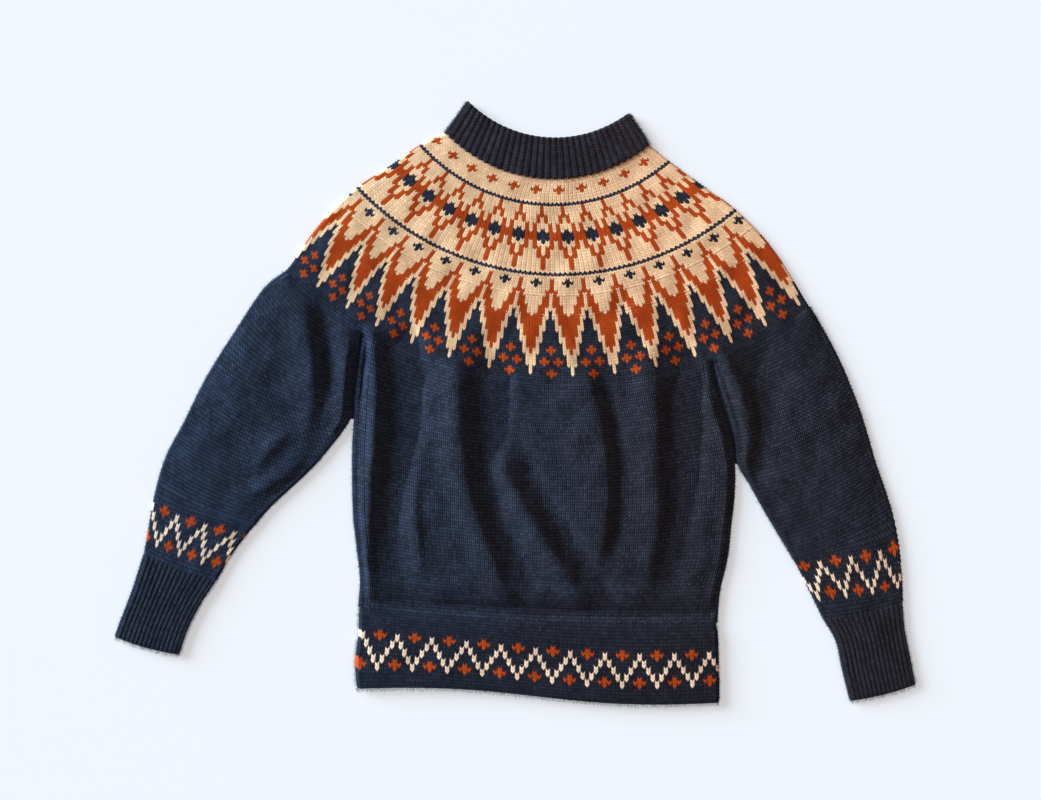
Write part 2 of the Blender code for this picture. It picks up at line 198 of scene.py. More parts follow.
# Stitches: a V of two legs. Its arms reach up, so its middle hangs most of a row lower than its two sides.
V_DROP = 0.75
CREST = 1.0
SIDE_GROOVE = 0.7
MIDDLE_GROOVE = 0.5
GROOVE_PAINTED_LIGHT = 0.10  # painted shade: what a groove keeps of a leg's brightness
PURL_PAINTED_LIGHT = 0.40  # painted shade: of a sunk column
BEHIND_PAINTED_LIGHT = 0.75  # painted shade: of the plain stitches behind
JOIN_PAINTED_LIGHT = 0.7  # painted shade: of a rib's sunk columns before the ribs have come up
LEG_TONE = 0.3  # share of a stitch's shade that each of its legs has for itself
ACROSS = 4  # faces across a stitch
ALONG = 2  # faces along a stitch
UNDER_ACROSS = 2  # stitches to a face of a wall's inner side
UNDER_ALONG = 3  # rows to such a face
UNDER_PAINTED_SHADE = 0.5  # painted shade and highlight: how much of the gaps' darkness the inner side has, the rest being the crests' lightness
# Painted shade over the cloth low in the slots under the arms: share of the gaps' darkness, the rest being
# the crests' lightness.
GUSSET_PAINTED_SHADE = 0.6
BEHIND_LIFT = -0.1
TUCK = 0.8  # how far the first row of a piece dips under the piece above it
INNER_TUCK = 1.6  # the most that the wall's inner side dips there
RIM_FADE = 2.0  # rows before a free edge over which the stitches' points level out
RIM_TURN = 0.8  # rows over which a free edge turns in
RIB_RISE = 0.4
RIB_SINK = 0.55
RIB_BUMP = 0.15
RIB_BEGINS = 2.5  # rows over which a cuff's ribs come up
RIB_HIDDEN = 0.2  # how much lower than plain stitches they begin
KNIT_SHARE = 0.58  # of the width of a rib, the rest is its sunk column
SLANT_BEGINS = 4.0  # rows over which the rows of a border turn into their slant
SLANT_ENDS = 8.0  # and out of it
DEEPEST = 3.0  # of a trough, below the height at which the two layers touch the folds
YARNS = {"O": 0.5, "N": 0.0, "c": 1.0}

# A patch's places on its unit square: its outer face, its inner one, and slivers for its edges.
UV_EDGE = 0.012
UV_OUTER = 0.86
UV_HIGH = 0.976
UV_UNDER = 0.886
UV_INNER = 0.1
UV_SLIVER = 0.002
UV_SIDE = 0.88

# Loose ends of fibre, in millimetres.
HAIR_LONG = (2.0, 5.5)
HAIR_THICK = 0.18
HAIR_LEAN = 0.7
HAIR_BEND = 0.22
# Loose fibres: how far the gaps' painted shade goes on them, the rest being the crests' painted highlight.
HAIR_SHADE = 0.25
HAIR_LOWEST = 0.2
HAIRS_IN_FRONT = 0.02  # against one at the sides
HAIRS_AT_RIM = 1.0
RIM_LEAN = 1.5  # of those at a free edge, away from the cloth
SIDE_NORMAL = 0.75  # of the upright part of the normal, where cloth counts as turned to the side

# The lower yoke has shifted a little sideways on the table: shift of its columns by turn.
DRIFT_AT = (0.0, 0.1, 0.2, 0.3, 0.45, 0.6, 0.7, 0.8, 0.9, 1.0)
DRIFT = (0.0, -0.004, -0.018, -0.020, -0.014, -0.003, 0.003, 0.005, 0.0, 0.0)
DRIFT_FROM = 2.7  # row of the yoke's table
DRIFT_OVER = 1.3

# Chart of the yoke's upper part, rows 0 to 8: columns 0 to 5 of one repeat.
CROSS_CHART = ("cccccc", "cccccc", "Occccc", "OOcccO", "Occccc", "cccccc", "cccccc", "cccccc", "NNNNNN")
# Rows 9 to 32 of the yoke, for the columns at 0, 1, 2 and 3 from the middle of a diamond.
DIAMOND_CHART = (
    ("Occc", 3), ("OOcc", 1), ("cOcc", 2), ("ccOc", 2), ("NcOc", 1), ("NNOO", 3), ("NcOc", 1), ("ccOc", 1),
    ("cOOc", 1), ("cOcc", 2), ("OOcc", 1), ("Occc", 4), ("cccc", 1), ("NNNN", 1),
)
# Rows 33 to 70: where rust, cream outline and navy begin in the columns from the middle of a gap.
RUST_FROM = (34, 37, 39, 42, 44, 46, 47)
OUTLINE_FROM = (39, 43, 46, 50, 54, 58, 60)
NAVY_FROM = (45, 48, 52, 56, 60, 64, 67)
PENDANT_CROSSES = ((58, 0), (62, 2), (66, 0))


def ring_rows(table, place):
    """Rings (n, 7) at fractional rows of a table, each column on a smooth curve through the rows."""
    rows = np.array(table, float)
    padded = np.concatenate([2 * rows[:1] - rows[1:2], rows, 2 * rows[-1:] - rows[-2:-1]])
    low = np.clip(np.floor(place).astype(int), 0, len(rows) - 2)
    t = (place - low)[:, None]
    before, start, end, after = (padded[low + k] for k in range(4))
    return (
        (2 * t**3 - 3 * t**2 + 1) * start
        + (t**3 - 2 * t**2 + t) * (end - before) / 2
        + (3 * t**2 - 2 * t**3) * end
        + (t**3 - t**2) * (after - start) / 2
    )


def ring_point(rings, share):
    """Points (n, 2), one on each ring, at these shares of its length: a circular arc that bows down by the
    sag, plus the wave, which lifts the left half and drops the right half."""
    sag = np.maximum(rings[:, SAG], LEAST_SAG)
    chord = rings[:, 2:4] - rings[:, 0:2]
    length = np.hypot(chord[:, 0], chord[:, 1])
    along = chord / length[:, None]
    down = np.stack([along[:, 1], -along[:, 0]], 1)
    radius = (length**2 / 4 + sag**2) / (2 * sag)
    half = np.arcsin(length / (2 * radius))
    angle = half * (2 * share - 1)
    forward = length / 2 + radius * np.sin(angle)
    drop = radius * (np.cos(angle) - np.cos(half)) + rings[:, WAVE] * np.sin(2 * np.pi * share)
    return rings[:, 0:2] + forward[:, None] * along + drop[:, None] * down


def smooth(share):
    """The cubic step 3s^2 - 2s^3, held at 0 and 1 outside."""
    share = np.clip(share, 0, 1)
    return share * share * (3 - 2 * share)


def divided_ring(x_left, x_right):
    """The stretch of the yoke's lower ring between two places across the garment, as a ring of its own."""
    left, middle, right = ring_point(np.array(YOKE[-1:] * 3, float), np.array((0.0, 0.5, 1.0)))
    half = np.hypot(*(right - left)) / 2
    radius = (half**2 + YOKE[-1][SAG] ** 2) / (2 * YOKE[-1][SAG])
    up = (left + right) / 2 - middle
    centre = middle + up / np.hypot(*up) * radius
    y_left, y_right = (centre[1] - math.sqrt(radius**2 - (x - centre[0]) ** 2) for x in (x_left, x_right))
    half = math.hypot(x_right - x_left, y_right - y_left) / 2
    return (x_left, y_left, x_right, y_right, radius - math.sqrt(radius**2 - half**2), 0.0, FULL_LOFT)


def from_photo(x, y):
    """Pixels of the photo in the plane of the tables."""
    return np.stack([(x - PHOTO_ORIGIN[0]) * PIXEL, (PHOTO_ORIGIN[1] - y) * PIXEL], -1)


def fold_field():
    """Heights of all the folds on an even grid. Along each line, half widths and rise change evenly from
    point to point, and across it the height is rise times exp(-(distance / half width of that side)
    squared)."""
    x, y = (np.arange(-reach, reach + FIELD_STEP, FIELD_STEP) for reach in FIELD_REACH)
    grid = np.stack(np.meshgrid(x, y, indexing="ij"), -1)
    total = np.zeros(grid.shape[:2])
    for line in FOLDS.values():
        values = np.array(line, float)
        points = from_photo(values[:, 0], values[:, 1])
        nearest = np.full(total.shape, np.inf)
        height = np.zeros(total.shape)
        for k in range(len(points) - 1):
            run = points[k + 1] - points[k]
            share = np.clip((grid - points[k]) @ run / (run @ run), 0, 1)
            off = grid - points[k] - share[..., None] * run
            away = np.linalg.norm(off, axis=-1)
            left, right, rise = (
                values[k, c] + share * (values[k + 1, c] - values[k, c]) for c in (2, 3, 4)
            )
            turned = (run[0] * off[..., 1] - run[1] * off[..., 0]) / np.linalg.norm(run)
            half = left + (right - left) * smooth(0.5 + turned / SIDE_BLEND)
            nearer = away < nearest
            nearest = np.where(nearer, away, nearest)
            height = np.where(nearer, rise * np.exp(-((away / (half * PIXEL)) ** 2)), height)
        total += height
    for wave_x, wave_y, phase, size in UNEVEN:
        total += size * np.sin(2 * np.pi * (grid[..., 0] / wave_x + grid[..., 1] / wave_y) + phase)
    return x[0], y[0], total


def fold_height(points):
    """The folds' height at these points, between the four places of the grid round each."""
    x_first, y_first, values = FIELD
    at = np.stack([(points[:, 0] - x_first) / FIELD_STEP, (points[:, 1] - y_first) / FIELD_STEP], 1)
    low = np.clip(np.floor(at).astype(int), 0, np.array(values.shape) - 2)
    s, t = (at - low).T
    i, j = low.T
    return ((values[i, j] * (1 - s) + values[i + 1, j] * s) * (1 - t)
            + (values[i, j + 1] * (1 - s) + values[i + 1, j + 1] * s) * t)


class Tube:
    """A flattened tube of cloth, from its table of rings."""

    def __init__(self, table, radius=FOLD_RADIUS, wall=WALL, flush=False):
        self.table = table
        self.flush = flush
        self.radius = radius
        self.wall = wall
        self.last = len(table) - 1
        self.fine = np.linspace(-0.2, self.last + 0.2, 20 * self.last + 9)
        middles = ring_point(ring_rows(table, self.fine), np.full(len(self.fine), 0.5))
        run = np.concatenate([[0.0], np.cumsum(np.hypot(*np.diff(middles, axis=0).T))])
        self.run = run - np.interp(0.0, self.fine, run)
        self.long = float(np.interp(self.last, self.fine, self.run))
        lines = np.linspace(0, 1, 33)
        rings = ring_rows(table, self.fine)
        points = ring_point(np.repeat(rings, 33, axis=0), np.tile(lines, len(rings))).reshape(-1, 33, 2)
        self.widths = np.hypot(*np.moveaxis(np.diff(points, axis=1), 2, 0)).sum(axis=1)

    def place(self, run):
        """Fractional rows of the table at these distances down the tube's middle."""
        return np.interp(run, self.run, self.fine)

    def width(self, place):
        return np.interp(place, self.fine, self.widths)

    def loop(self, place):
        """Developed length of the front, fold to fold."""
        return self.width(place) - 2 * self.radius + np.pi * self.radius

    def front_height(self, rings, place, across, width):
        """Top of the front layer: loft that grows from the folds inwards, and the named folds. Where a
        flush tube begins, it keeps the height of the cloth above it almost to its folds."""
        edge = np.minimum(across, width - across) - self.radius
        total = fold_height(ring_point(rings, across / width))
        begins = smooth(1 - place) if self.flush else 0.0
        flush = begins * smooth(edge / FLUSH_EDGE)
        grown = (1 - begins) * smooth(edge / LOFT_EDGE) + flush
        shown = (1 - begins) * smooth(edge / RELIEF_EDGE) + flush
        total *= np.minimum(1.0, rings[:, LOFT] / FULL_LOFT) * shown
        return 2 * self.radius + np.maximum(rings[:, LOFT] * grown + total, -DEEPEST)

    def surface(self, place, turn, lift):
        """Points (n, 3) of the cloth's outer face, raised by lift, at these fractional rows and turns. A
        turn is the place round the loop: 0 is the left fold's outermost point, 1 the right fold's, 2 the
        left one again by way of the back."""
        rings = ring_rows(self.table, place)
        width = self.width(place)
        radius = self.radius
        arc = math.pi * radius / 2
        length = self.loop(place)
        run = np.mod(turn, 2) * length
        behind = run > length
        run = np.where(behind, 2 * length - run, run)
        left = run < arc
        right = length - run < arc
        angle = np.clip(np.minimum(run, length - run) / radius, 0, math.pi / 2)
        across = radius + run - arc
        across = np.where(left, radius * (1 - np.cos(angle)), across)
        across = np.where(right, width - radius * (1 - np.cos(angle)), across)
        side = np.where(behind, -1.0, 1.0)
        height = radius + side * radius * np.sin(angle)
        normal = np.stack([np.where(left, -1.0, 1.0) * np.cos(angle), side * np.sin(angle)], 1)
        top = ~behind & ~left & ~right
        rise, after, before = (
            self.front_height(rings[top], place[top], across[top] + off, width[top])
            for off in (0.0, 1.0, -1.0)
        )
        slope = (after - before) / 2.0
        steep = np.hypot(slope, 1)
        height[top] = rise
        normal[top] = np.stack([-slope / steep, 1 / steep], 1)
        lift = lift * smooth(height / radius)
        flat = ring_point(rings, (across + lift * normal[:, 0]) / width)
        return np.column_stack([flat, height + lift * normal[:, 1]])


FIELD = fold_field()


def stitch_relief(beside, along):
    """Height over the cloth's plane. beside is 0 in the middle of a V and 1 between two columns, along runs
    from 0 to 1 through a stitch. A leg is a ridge that is highest halfway, so each stitch is two bumps."""
    leg = 1 - np.abs(2 * beside - 1)
    groove = np.where(beside > 0.5, SIDE_GROOVE, MIDDLE_GROOVE)
    return leg * CREST * np.sin(np.pi * along) ** 2 - (1 - leg) * groove


def rib_relief(column, beside, along):
    """Height of 1x1 rib: even columns are stitches that stand up, odd ones lie sunk between them as a
    trough that is deepest in its middle, with a low bump for each of its stitches."""
    across = np.sin(np.pi * np.mod(column, 1))
    trough = -RIB_SINK * np.maximum(across, 0) + RIB_BUMP * across * np.cos(2 * np.pi * along)
    return np.where(np.mod(column, 2) < 1, RIB_RISE + stitch_relief(beside, along), trough)


def shell(outer, inner, keep_rows, keep_columns, closed):
    """A closed shell from a fine outer grid and a coarse inner one, whose points lie under those rows and
    columns of the outer grid. Returns points, corner lists of the faces, and the corners' places on the
    unit square: the outer face on its left, the inner one on its right, the edges as slivers."""
    rows, columns = outer.shape[:2]
    spans = columns if closed else columns - 1
    points = np.concatenate([outer.reshape(-1, 3), inner.reshape(-1, 3)])
    base = rows * columns
    across = inner.shape[1]
    ahead, behind = np.array((0, 0, 1, 1)), np.array((1, 1, 0, 0))
    beside = np.array((0, 1, 1, 0))
    u_fine = UV_EDGE + UV_OUTER * np.arange(spans + 1) / spans
    v_fine = UV_EDGE + UV_HIGH * np.arange(rows) / (rows - 1)
    row, column = (grid.ravel() for grid in np.mgrid[0 : rows - 1, 0:spans])
    quad_rows, quad_columns = row[:, None] + ahead, column[:, None] + beside
    quads = quad_rows * columns + quad_columns % columns
    quad_uv = np.stack([u_fine[quad_columns], v_fine[quad_rows]], -1)
    bands = len(keep_columns) - (0 if closed else 1)
    band_ends = list(keep_columns) + ([spans] if closed else [])
    r, c = (grid.ravel()[:, None] for grid in np.mgrid[0 : len(keep_rows) - 1, 0:bands])
    inner_quads = base + (r + behind) * across + (c + beside) % across
    u_under = UV_UNDER + UV_INNER * np.arange(bands + 1) / bands
    v_under = UV_EDGE + UV_HIGH * np.arange(len(keep_rows)) / (len(keep_rows) - 1)
    inner_uv = np.stack([u_under[c + beside], v_under[r + behind]], -1)
    caps, cap_uv = [], []

    def cap(fine_corners, inner_corners, u, v, axis, sliver):
        """A face along an edge, from the outer grid to the inner one, as a sliver of the unit square."""
        fine_uv = np.stack(np.broadcast_arrays(u, v), 1)
        ends = fine_uv[[-1, 0]]
        ends[:, axis] = sliver
        caps.append(np.array([*fine_corners, *inner_corners]))
        cap_uv.append(np.concatenate([fine_uv, ends]))

    last = (rows - 1) * columns
    last_under = base + (len(keep_rows) - 1) * across
    for j in range(bands):
        fine = np.arange(band_ends[j], band_ends[j + 1] + 1)
        far = (j + 1) % across
        cap(fine[::-1] % columns, (base + j, base + far), u_fine[fine[::-1]], v_fine[0], 1, UV_SLIVER)
        cap(last + fine % columns, (last_under + far, last_under + j), u_fine[fine], v_fine[-1], 1,
            1 - UV_SLIVER)
    for j in range(0 if closed else len(keep_rows) - 1):
        fine = np.arange(keep_rows[j], keep_rows[j + 1] + 1)
        near, far = base + j * across, base + (j + 1) * across
        cap(fine * columns, (far, near), u_fine[0], v_fine[fine], 0, UV_SLIVER)
        cap(fine[::-1] * columns + columns - 1, (near + across - 1, far + across - 1), u_fine[-1],
            v_fine[fine[::-1]], 0, UV_SIDE)
    corners = np.concatenate([quads.ravel(), inner_quads.ravel(), *caps])
    sizes = np.concatenate([np.full(len(quads) + len(inner_quads), 4), [len(face) for face in caps]])
    places = np.concatenate([quad_uv.reshape(-1, 2), inner_uv.reshape(-1, 2), *cap_uv])
    return {"points": points, "corners": corners, "sizes": sizes, "uv": places, "outer": len(quads),
            "row": row, "column": column}


def outward(part):
    """Turns every face round if the shell's volume, summed over its triangle fans, comes out negative."""
    starts = np.concatenate([[0], np.cumsum(part["sizes"])[:-1]])
    quads = part["sizes"] == 4
    a, b, c, d = (part["points"][part["corners"][starts[quads] + k]] for k in range(4))
    if (a * np.cross(b, c)).sum() + (a * np.cross(c, d)).sum() >= 0:
        return
    order = np.repeat(starts + part["sizes"] - 1, part["sizes"])
    within = np.arange(len(part["corners"])) - np.repeat(starts, part["sizes"])
    part["corners"] = part["corners"][order - within]
    part["uv"] = part["uv"][order - within]


def knit(tube, first, pitch, rows, turn_start, turn_step, columns, chart, *, closed=True, tuck=TUCK,
         tuck_rows=1, rim=0.0, seed=1, turns=None, rib=False, drift=0.0, lining=0.0, fuzz=0, slant=0.0):
    """A patch of stitches on a tube. Rows begin at first millimetres down it, each pitch high. Columns
    begin at turn_start, each turn_step wide. Stitches in front have V shape, those behind are one face
    wide. turns maps shares of the columns and places to turns, for a patch with slanting sides."""
    rng = np.random.default_rng(seed)
    behind = round((2 - columns * turn_step) / turn_step) if closed else 0
    front_faces = columns * ACROSS
    ends = 0 if closed else 1
    fine = np.arange(front_faces + ends) / ACROSS
    column = np.concatenate([fine, columns + np.arange(behind)]) if closed else fine
    row = np.arange(rows * ALONG + 1) / ALONG
    row_grid, column_grid = np.meshgrid(row, column, indexing="ij")
    beside = np.abs(2 * np.mod(column_grid, 1) - 1)
    beside[:, front_faces + ends :] = 1.0
    if rib:
        beside = np.where(np.mod(column_grid, 2) < 1, beside, 1.0)
    fading = smooth((rows - row_grid) / RIM_FADE) if rim else 1.0
    dropped = row_grid + V_DROP * (1 - beside) * fading
    along = np.mod(row_grid, 1)
    lift = stitch_relief(beside, along)
    if rib:
        grown = smooth(row_grid / RIB_BEGINS) if tuck else 1.0
        lift = grown * rib_relief(column_grid, beside, along) + (1 - grown) * (lift - RIB_HIDDEN)
    lift = np.where(column_grid > columns, BEHIND_LIFT, lift)
    lift -= tuck * np.clip(1 - row_grid / tuck_rows, 0, 1)
    if rim:
        lift -= rim * smooth((dropped - rows + RIM_TURN) / RIM_TURN)
    behind_step = (2 - columns * turn_step) / max(behind, 1)

    def even_turn(columns_at):
        past = np.maximum(columns_at - columns, 0)
        return turn_start + np.minimum(columns_at, columns) * turn_step + past * behind_step

    def turn_of(columns_at, place):
        if turns is not None:
            return turns(columns_at / columns, place)
        if rib:
            within = np.mod(columns_at, 2)
            knit_wide, purl_wide = 2 * KNIT_SHARE, 2 * (1 - KNIT_SHARE)
            wide = np.where(within < 1, knit_wide * within, 2 - purl_wide * (2 - within))
            columns_at = np.where(columns_at > columns, columns_at, columns_at - within + wide)
        turn = even_turn(columns_at)
        return turn + drift * smooth((place - DRIFT_FROM) / DRIFT_OVER) * np.interp(turn, DRIFT_AT, DRIFT)

    def place_of(rows_at, columns_at):
        run = first + rows_at * pitch
        if slant:
            share = smooth(rows_at / SLANT_BEGINS) * smooth((rows - rows_at) / SLANT_ENDS)
            run = run - slant * share * np.cos(np.pi * even_turn(columns_at))
        return tube.place(run).ravel()

    place = place_of(dropped, column_grid)
    outer = tube.surface(place, turn_of(column_grid.ravel(), place), lift.ravel())
    outer = outer.reshape(*row_grid.shape, 3)
    keep_rows = [*range(0, rows * ALONG, UNDER_ALONG * ALONG), rows * ALONG]
    keep_columns = list(range(0, front_faces, UNDER_ACROSS * ACROSS))
    keep_columns += range(front_faces, front_faces + behind, UNDER_ACROSS) if closed else [front_faces]
    under_row, under_column = np.meshgrid(row[keep_rows], column[keep_columns], indexing="ij")
    depth = np.full(under_row.shape, -tube.wall) - min(tuck, INNER_TUCK) * np.clip(1 - under_row, 0, 1)
    if rim:
        depth += rim * smooth((under_row - rows + RIM_TURN) / RIM_TURN)
    place = place_of(under_row, under_column)
    turn = turn_of(under_column.ravel(), place)
    inner = tube.surface(place, turn, depth.ravel())
    inner[np.mod(turn, 2) > 1, 2] = tube.wall
    inner = inner.reshape(*under_row.shape, 3)
    part = shell(outer, inner, keep_rows, keep_columns, closed)
    outward(part)
    front = part["column"] < front_faces
    stitch_row = part["row"] // ALONG
    stitch_column = np.where(front, part["column"] // ACROSS, part["column"] - front_faces + columns)
    leg = np.where(front, part["column"] // (ACROSS // 2) % 2, 0)
    count = len(part["sizes"])
    part["yarn"] = np.full(count, lining)
    part["yarn"][: part["outer"]] = chart(stitch_row, stitch_column)
    tones = rng.uniform(0, 1, (rows + 1, int(column[-1]) + 2, 3))
    whole, half = (tones[stitch_row, stitch_column, which] for which in (2, leg))
    part["tone"] = np.full(count, 0.5)
    part["tone"][: part["outer"]] = (1 - LEG_TONE) * whole + LEG_TONE * half
    # gap carries painted shade and painted highlight: near 1 in the grooves between legs and between rows,
    # where the material darkens the colour, near 0 on the middle of a leg, where it lightens it; sunk rib
    # columns and stitches behind get a share of the darkness.
    legs = np.where(column_grid > columns, BEHIND_PAINTED_LIGHT, 1 - np.abs(2 * beside - 1))
    if rib:
        sunk = PURL_PAINTED_LIGHT + (1 - grown) * (JOIN_PAINTED_LIGHT - PURL_PAINTED_LIGHT)
        legs = np.where(np.mod(column_grid, 2) < 1, legs, sunk)
    gap = 1 - (GROOVE_PAINTED_LIGHT + (1 - GROOVE_PAINTED_LIGHT) * legs) * np.sin(np.pi * along)
    part["gap"] = np.concatenate([gap.ravel(), np.full(inner.size // 3, UNDER_PAINTED_SHADE)])
    part["rows"] = rows
    if fuzz:
        stitches = [*range(0, front_faces, ACROSS), *range(front_faces, outer.shape[1])]
        part["hairs"] = hairs(outer, stitches, chart, rim, fuzz, rng)
    return part


def hairs(outer, keep, yarn, rim, count, rng):
    """Loose ends of fibre on a patch. Each is a thin spindle: its foot in a stitch, three points round its
    middle, and its tip, which lies along the cloth's normal plus a random lean, and a bend. Most stand
    where the cloth turns to the side, and where it ends."""
    cloth = outer[::ALONG][:, keep]
    down, across = np.gradient(cloth, axis=(0, 1))
    normal = np.cross(across, down)
    normal /= np.linalg.norm(normal, axis=2, keepdims=True) + 1e-9
    high = cloth[..., 2] > np.quantile(cloth[..., 2], 0.7)
    normal *= np.sign(normal[high][:, 2].mean())
    weight = np.where(np.abs(normal[..., 2]) < SIDE_NORMAL, 1.0, HAIRS_IN_FRONT)
    weight[normal[..., 2] < -SIDE_NORMAL] = 0.0
    weight[0] = 0.0
    if rim:
        weight[-1] = np.maximum(weight[-1], HAIRS_AT_RIM)
    chosen = rng.choice(weight.size, count, p=weight.ravel() / weight.sum())
    row, column = np.unravel_index(chosen, weight.shape)
    foot = cloth[row, column] + (rng.random((count, 1)) - 0.5) * down[row, column]
    foot += (rng.random((count, 1)) - 0.5) * across[row, column]
    aim = normal[row, column] + HAIR_LEAN * rng.normal(size=(count, 3))
    if rim:
        off = down[row, column] / (np.linalg.norm(down[row, column], axis=1, keepdims=True) + 1e-9)
        aim += RIM_LEAN * off * (row == len(cloth) - 1)[:, None]
    aim /= np.linalg.norm(aim, axis=1, keepdims=True)
    long = rng.uniform(*HAIR_LONG, (count, 1)) * rng.uniform(0.5, 1.0, (count, 1))
    middle = foot + aim * long / 2
    tip = foot + aim * long + rng.normal(size=(count, 3)) * long * HAIR_BEND
    beside = np.cross(aim, rng.normal(size=(count, 3)))
    beside /= np.linalg.norm(beside, axis=1, keepdims=True)
    third = np.cross(aim, beside)
    ring = [middle + HAIR_THICK / 2 * (math.cos(a) * beside + math.sin(a) * third)
            for a in (0.0, 2 * math.pi / 3, 4 * math.pi / 3)]
    points = np.stack([foot, *ring, tip], 1).reshape(-1, 3)
    points[:, 2] = np.maximum(points[:, 2], HAIR_LOWEST)
    faces = np.array([(4, 1, 2), (4, 2, 3), (4, 3, 1), (0, 2, 1), (0, 3, 2), (0, 1, 3)])
    corners = faces[None] + 5 * np.arange(count)[:, None, None]
    cells = math.ceil(math.sqrt(count))
    cell = np.stack([np.arange(count) % cells, np.arange(count) // cells], 1)[:, None, None]
    part_of_cell = np.stack([np.arange(6) % 3 / 3, np.arange(6) // 3 / 2], 1)[None, :, None]
    in_part = np.array([(0.05, 0.05), (0.28, 0.05), (0.16, 0.42)])[None, None]
    return {"points": points, "corners": corners.ravel(), "sizes": np.full(6 * count, 3),
            "uv": ((cell + part_of_cell + in_part) / cells).reshape(-1, 2), "rows": 2,
            "yarn": np.repeat(yarn(row, column), 6), "tone": np.repeat(rng.random(count), 6),
            "gap": np.full(5 * count, HAIR_SHADE)}


def gusset(points_left, points_right, low, high):
    """The cloth that joins sleeve and body under the arm, low in the slot between them: a strip from one
    line of points to another, thin and flat."""
    left, right = np.array(points_left, float), np.array(points_right, float)
    across = np.linspace(0, 1, 5)[None, :, None]
    flat = left[:, None] * (1 - across) + right[:, None] * across
    outer, inner = (np.concatenate([flat, np.full((*flat.shape[:2], 1), z)], 2) for z in (high, low))
    part = shell(outer, inner, list(range(len(left))), list(range(5)), False)
    outward(part)
    count = len(part["sizes"])
    # Its colour carries painted shade over all of it, with a little of the crests' painted highlight.
    return part | {"yarn": np.zeros(count), "tone": np.full(count, 0.5),
                   "gap": np.full(len(part["points"]), GUSSET_PAINTED_SHADE), "rows": 4}


def placed(name, data):
    """An object of this data, in the scene."""
    made = bpy.data.objects.new(name, data)
    bpy.context.scene.collection.objects.link(made)
    return made


def piece(name, parts, material):
    """One object from patches of stitches, with a UV map in which each patch has its own strip."""
    parts = [*parts, *(part["hairs"] for part in parts if "hairs" in part)]
    total = sum(part["rows"] for part in parts)
    points, corners, sizes, places = [], [], [], []
    offset, used = 0, 0.0
    for part in parts:
        share = part["rows"] / total
        points.append(part["points"])
        corners.append(part["corners"] + offset)
        sizes.append(part["sizes"])
        places.append(part["uv"] * (1.0, share) + (0.0, used))
        offset += len(part["points"])
        used += share
    points = np.concatenate(points)
    points[:, :2] -= CENTRE
    points *= MM
    corners = np.concatenate(corners).astype(np.int32)
    sizes = np.concatenate(sizes).astype(np.int32)
    mesh = bpy.data.meshes.new(name)
    mesh.vertices.add(len(points))
    mesh.vertices.foreach_set("co", points.astype(np.float32).ravel())
    mesh.loops.add(len(corners))
    mesh.loops.foreach_set("vertex_index", corners)
    mesh.polygons.add(len(sizes))
    mesh.polygons.foreach_set("loop_start", np.concatenate([[0], np.cumsum(sizes)[:-1]]).astype(np.int32))
    mesh.update(calc_edges=True)
    layer = mesh.uv_layers.new(name="stitches")
    layer.data.foreach_set("uv", np.concatenate(places).astype(np.float32).ravel())
    # gap carries painted shade and painted highlight, for the material to darken grooves and lighten
    # crests.
    for key, domain in (("yarn", "FACE"), ("tone", "FACE"), ("gap", "POINT")):
        values = np.concatenate([part[key] for part in parts]).astype(np.float32)
        mesh.attributes.new(key, "FLOAT", domain).data.foreach_set("value", values)
    mesh.shade_smooth()
    mesh.materials.append(material)
    return placed(name, mesh)


def plain(row, column):
    return np.zeros(len(row))


def chart_values(text):
    return np.array([YARNS[letter] for letter in text])


def crosses(row, column):
    """Rows 0 to 8 of the yoke, after one hidden row: small crosses on cream, then a navy line."""
    table = np.array([chart_values(text) for text in CROSS_CHART])
    return table[np.clip(row - 1, 0, 8), np.mod(column + 4, 6)]


def diamonds(row, column):
    """Rows 9 to 32 of the yoke, after one hidden row in the navy of the line above."""
    table = np.concatenate([np.tile(chart_values(text), (count, 1)) for text, count in DIAMOND_CHART])
    away = np.mod(column, 6)
    value = table[np.clip(row - 1, 0, len(table) - 1), np.minimum(away, 6 - away)]
    return np.where(row == 0, YARNS["N"], value)


def pendants(first_row, repeat):
    """Rows 33 to 70 of the yoke: rust tongues with a cream outline that grow from narrow to wide, a small
    navy cross above each tip, and four rust crosses on the navy below each gap."""

    def values(row, column):
        row = row + first_row
        from_point = np.mod(column, repeat)
        from_point = np.minimum(from_point, repeat - from_point)
        near = (repeat / 2 - from_point) * 12 / repeat
        rust, outline, navy = (
            np.interp(near, np.arange(7), start) for start in (RUST_FROM, OUTLINE_FROM, NAVY_FROM)
        )
        value = np.where(row >= np.round(rust), YARNS["O"], YARNS["c"])
        value = np.where(row >= np.round(outline), YARNS["c"], value)
        value = np.where(row >= np.round(navy), YARNS["N"], value)
        middle = (from_point == 0) & (row >= 34) & (row <= 36)
        value = np.where(middle | ((from_point == 1) & (row == 35)), YARNS["N"], value)
        value = np.where(row < 33, YARNS["N"], value)
        if repeat == 12:
            for centre, beside in PENDANT_CROSSES:
                off = np.abs(near - beside) + np.abs(row - centre)
                value = np.where(off <= 1, YARNS["O"], value)
        return value

    return values


def zigzag(first_row, phase=0):
    """The border of hem and wrists: a cream zigzag, two rows to a column, with rust crosses above and
    below."""

    def values(row, column):
        row = row - first_row
        away = np.mod(column - phase, 8)
        away = np.minimum(away, 8 - away)
        value = np.where((row >= 2 * away) & (row < 2 * away + 2), YARNS["c"], YARNS["N"])
        upper = (4 - away) + np.abs(row) <= 1
        lower = away + np.abs(row - 8) <= 1
        return np.where(upper | lower, YARNS["O"], value)

    return values


def linear(colour):
    """An sRGB hex colour as linear values."""
    values = [int(colour[k : k + 2], 16) / 255 for k in (1, 3, 5)]
    return (*[v / 12.92 if v <= 0.04045 else ((v + 0.055) / 1.055) ** 2.4 for v in values], 1.0)


